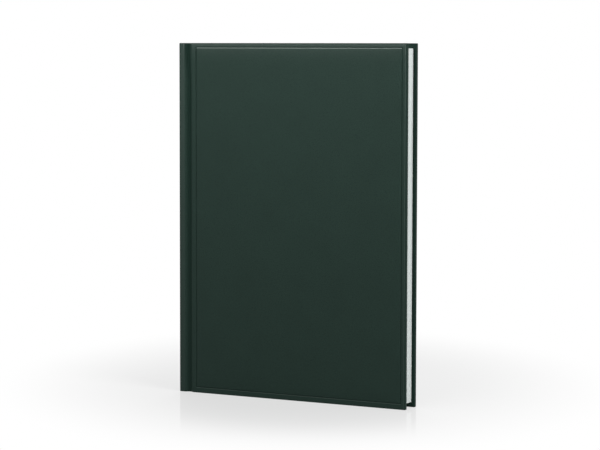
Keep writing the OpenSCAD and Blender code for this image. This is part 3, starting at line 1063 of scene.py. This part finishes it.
def seen_directly(tree):
    """1 for what the camera sees, also in a mirror or through glass, and 0 for what only lights."""
    rays = tree.nodes.new("ShaderNodeLightPath").outputs
    indirect = math_node(tree, "MAXIMUM", rays["Is Glossy Ray"], rays["Is Transmission Ray"])
    return math_node(tree, "MAXIMUM", rays["Is Camera Ray"], indirect)


def floor_material():
    """A pale matt floor with a faint sheen. What the camera and mirrors see of it fades to plain
    white away from the object, and from below it is clear."""
    material, tree = empty_material("pale_floor")
    white = node_of(tree, "ShaderNodeEmission", {"Color": WHITE, "Strength": 1.0})
    matt = node_of(tree, "ShaderNodeBsdfDiffuse", {"Color": (0.62, 0.62, 0.62, 1)})
    sheen = node_of(tree, "ShaderNodeBsdfGlossy", {"Color": WHITE, "Roughness": 0.07})
    clear = tree.nodes.new("ShaderNodeBsdfTransparent")
    inputs = {"Vector": object_vector(tree), "Location": (-0.03, 0.073, 0.0),
              "Rotation": (0.0, 0.0, 0.5), "Scale": (0.135, 0.19, 1.0)}
    oval = node_of(tree, "ShaderNodeMapping", inputs, vector_type="TEXTURE").outputs[0]
    away = node_of(tree, "ShaderNodeVectorMath", {0: oval}, operation="LENGTH").outputs["Value"]
    lift = product(tree, faded(tree, away, 0.55, 1.5, 0.665, 1.0), seen_directly(tree))
    gloss = faded(tree, away, 0.8, 1.25, 0.1, 0.0)
    surface = mixed_shader(tree, gloss, mixed_shader(tree, lift, matt, white), sheen)
    below = tree.nodes.new("ShaderNodeNewGeometry").outputs["Backfacing"]
    sided = mixed_shader(tree, below, surface, clear)
    node_of(tree, "ShaderNodeOutputMaterial", {"Surface": sided.outputs[0]})
    return material


def make_floor(half_size):
    """A square floor in the plane z = 0, on which the object stands."""
    corners = np.array([[-1, -1, 0], [1, -1, 0], [1, 1, 0], [-1, 1, 0]]) * half_size
    mesh = bpy.data.meshes.new("floor")
    mesh.from_pydata(corners.tolist(), [], [(0, 1, 2, 3)])
    mesh.materials.append(floor_material())
    floor = bpy.data.objects.new("floor", mesh)
    bpy.context.scene.collection.objects.link(floor)


def make_lamp(name, place, aim, size, power, spread=180):
    """A softbox at a place, turned towards a point. A grid on it narrows its spread, in degrees."""
    data = bpy.data.lights.new(name, "AREA")
    data.shape = "RECTANGLE"
    data.size, data.size_y = size
    data.energy = power
    data.spread = math.radians(spread)
    lamp = bpy.data.objects.new(name, data)
    lamp.location = place
    lamp.rotation_mode = "QUATERNION"
    lamp.rotation_quaternion = (Vector(aim) - Vector(place)).to_track_quat("-Z", "Y")
    lamp.visible_camera = False
    bpy.context.scene.collection.objects.link(lamp)


def make_world(strength):
    """White surroundings at a plain strength, which the camera and mirrors see as pure white."""
    world = bpy.data.worlds.new("surroundings")
    world.use_nodes = True
    tree = world.node_tree
    tree.nodes.clear()
    light = node_of(tree, "ShaderNodeBackground", {"Color": WHITE, "Strength": strength})
    white = node_of(tree, "ShaderNodeBackground", {"Color": WHITE, "Strength": 1.0})
    mix = mixed_shader(tree, seen_directly(tree), light, white)
    node_of(tree, "ShaderNodeOutputWorld", {"Surface": mix.outputs[0]})
    bpy.context.scene.world = world


def make_camera(stage):
    """The camera at the photograph's viewing angle. Azimuth 0 looks along +Y."""
    a, e = stage.azimuth, stage.elevation
    back = Vector((math.sin(a) * math.cos(e), -math.cos(a) * math.cos(e), math.sin(e)))
    data = bpy.data.cameras.new("camera")
    data.sensor_width = 36
    data.lens = stage.lens
    data.clip_start, data.clip_end = 0.05, 50
    camera = bpy.data.objects.new("camera", data)
    turn = back.to_track_quat("Z", "Y").to_matrix() @ Matrix.Rotation(stage.roll, 3, "Z")
    camera.matrix_world = Matrix.Translation(Vector(stage.target) + back * stage.distance) @ turn.to_4x4()
    bpy.context.scene.collection.objects.link(camera)
    bpy.context.scene.camera = camera


class PLANNER_OT_covers(Operator):
    """Makes the leatherette of both covers"""

    bl_idname = "planner.covers"
    bl_label = "Cover leatherette"

    def execute(self, context):
        case, colours = context.scene.planner_case, context.scene.planner_colours
        material = material_of(grained_leatherette, colours)
        for side, back in SIDES:
            piece = cover_leatherette(case, f"{side}_leatherette", material, back)
            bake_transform(piece)
            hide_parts(f"{side}_cover_wrap")
        return {"FINISHED"}


class PLANNER_OT_foam(Operator):
    """Makes the foam pads under the covers' leatherette"""

    bl_idname = "planner.foam"
    bl_label = "Foam pads"

    def execute(self, context):
        case, colours = context.scene.planner_case, context.scene.planner_colours
        material = material_of(open_foam, colours)
        for side, back in SIDES:
            piece = foam_pad(case, f"{side}_foam", material, back)
            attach(piece, f"{side}_cover")
            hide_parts(f"{side}_padding")
        return {"FINISHED"}


class PLANNER_OT_spine(Operator):
    """Makes the leatherette round the spine"""

    bl_idname = "planner.spine"
    bl_label = "Spine leatherette"

    def execute(self, context):
        case, colours = context.scene.planner_case, context.scene.planner_colours
        material = material_of(grained_leatherette, colours)
        piece = spine_leatherette(case, "spine_leatherette", material)
        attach(piece, PAGES_BODY)
        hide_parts("spine_wrap")
        return {"FINISHED"}


class PLANNER_OT_endpapers(Operator):
    """Makes the glued and the free leaf of both endpapers"""

    bl_idname = "planner.endpapers"
    bl_label = "Endpapers"

    def execute(self, context):
        scene = context.scene
        case, paper = scene.planner_case, scene.planner_paper
        material = material_of(plain_endpaper, scene.planner_colours)
        for side, back in SIDES:
            glued = pastedown_sheet(case, paper, f"{side}_pastedown_sheet", material, back)
            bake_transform(glued)
            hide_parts(f"{side}_pastedown")
            free = flyleaf_sheet(f"{side}_flyleaf_sheet", material, back)
            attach(free, PAGES_BODY)
            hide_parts(f"{side}_flyleaf")
        return {"FINISHED"}


class PLANNER_OT_pages(Operator):
    """Makes the stack of pages"""

    bl_idname = "planner.pages"
    bl_label = "Pages"

    def execute(self, context):
        paper, colours = context.scene.planner_paper, context.scene.planner_colours
        material = material_of(page_edges, colours)
        piece = page_stack(paper, "page_stack", material)
        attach(piece, PAGES_BODY)
        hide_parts("page_block")
        return {"FINISHED"}


class PLANNER_OT_headbands(Operator):
    """Makes the headband and the tailband"""

    bl_idname = "planner.headbands"
    bl_label = "Headbands"

    def execute(self, context):
        paper, colours = context.scene.planner_paper, context.scene.planner_colours
        material = material_of(headband_thread, colours)
        for node in ("headband", "tailband"):
            for piece in headband_piece(paper, f"{node}_woven", material, node == "tailband"):
                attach(piece, PAGES_BODY)
                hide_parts(node)
        return {"FINISHED"}


class PLANNER_OT_gauze(Operator):
    """Makes the hinge cloth on both boards"""

    bl_idname = "planner.gauze"
    bl_label = "Hinge cloth"

    def execute(self, context):
        case, colours = context.scene.planner_case, context.scene.planner_colours
        material = material_of(cotton_gauze, colours)
        for side, back in SIDES:
            piece = gauze_sheet(case, f"{side}_gauze", material, back)
            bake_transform(piece)
            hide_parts(f"{side}_hinge_cloth")
        return {"FINISHED"}


class PLANNER_OT_inner_pieces(Operator):
    """Gives the boards and the cloth on the pages' back their materials"""

    bl_idname = "planner.inner_pieces"
    bl_label = "Boards and spine cloth"

    def execute(self, context):
        colours = context.scene.planner_colours
        finishes = {
            "board": material_of(greyboard, colours),
            "cloth": material_of(cotton_gauze, colours),
        }
        for name, node in frame["nodes"].items():
            material = finishes.get(name.rsplit("_", 1)[-1])
            if material and not node.hide_render:
                node.data.materials.clear()
                node.data.materials.append(material)
        return {"FINISHED"}


class PLANNER_OT_stage(Operator):
    """Makes the floor, the lamps, the surroundings and the camera"""

    bl_idname = "planner.stage"
    bl_label = "Stage"

    def execute(self, context):
        stage = context.scene.planner_stage
        context.scene.view_settings.view_transform = "Standard"
        make_camera(stage)
        make_world(stage.ambient)
        make_floor(FLOOR_HALF_SIZE)
        centre = (0, 0, COVER_H * 0.55)
        head = (0, 0, COVER_H)
        make_lamp("rear", (-0.5, 0.95, 0.8), centre, (0.7, 0.5), stage.rear_power)
        make_lamp("head", (-0.03, -0.3, 0.32), head, (0.4, 0.05), stage.head_power, 64)
        make_lamp("left", (-0.95, -0.5, 0.5), centre, (0.6, 0.8), stage.left_power)
        make_lamp("right", (0.85, -0.3, 0.85), (0, 0, 0.15), (0.5, 0.5), stage.right_power)
        return {"FINISHED"}


class PLANNER_PT_sidebar(Panel):
    """Lists the planner's sizes, colours and steps"""

    bl_idname = "PLANNER_PT_sidebar"
    bl_label = "Planner"
    bl_space_type = "VIEW_3D"
    bl_region_type = "UI"
    bl_category = "Planner"

    def draw(self, context):
        for operator in OPERATORS:
            self.layout.operator(operator.bl_idname)
        for group in GROUPS:
            settings = getattr(context.scene, group)
            box = self.layout.box()
            for name in settings.bl_rna.properties.keys():
                if name not in ("name", "rna_type"):
                    box.prop(settings, name)


GROUPS = {
    "planner_case": PlannerCase,
    "planner_paper": PlannerPaper,
    "planner_colours": PlannerColours,
    "planner_stage": PlannerStage,
}
OPERATORS = (
    PLANNER_OT_covers,
    PLANNER_OT_foam,
    PLANNER_OT_spine,
    PLANNER_OT_endpapers,
    PLANNER_OT_pages,
    PLANNER_OT_headbands,
    PLANNER_OT_gauze,
    PLANNER_OT_inner_pieces,
    PLANNER_OT_stage,
)


def register():
    for kind in (*GROUPS.values(), *OPERATORS, PLANNER_PT_sidebar):
        bpy.utils.register_class(kind)
    for name, kind in GROUPS.items():
        setattr(bpy.types.Scene, name, PointerProperty(type=kind))


def unregister():
    for name in GROUPS:
        delattr(bpy.types.Scene, name)
    for kind in reversed((*GROUPS.values(), *OPERATORS, PLANNER_PT_sidebar)):
        bpy.utils.unregister_class(kind)


def main():
    """Makes the planner piece by piece."""
    register()
    bpy.ops.planner.covers()
    bpy.ops.planner.foam()
    bpy.ops.planner.spine()
    bpy.ops.planner.endpapers()
    bpy.ops.planner.pages()
    bpy.ops.planner.headbands()
    bpy.ops.planner.gauze()
    bpy.ops.planner.inner_pieces()
    bpy.ops.planner.stage()


if __name__ == "__main__":
    main()
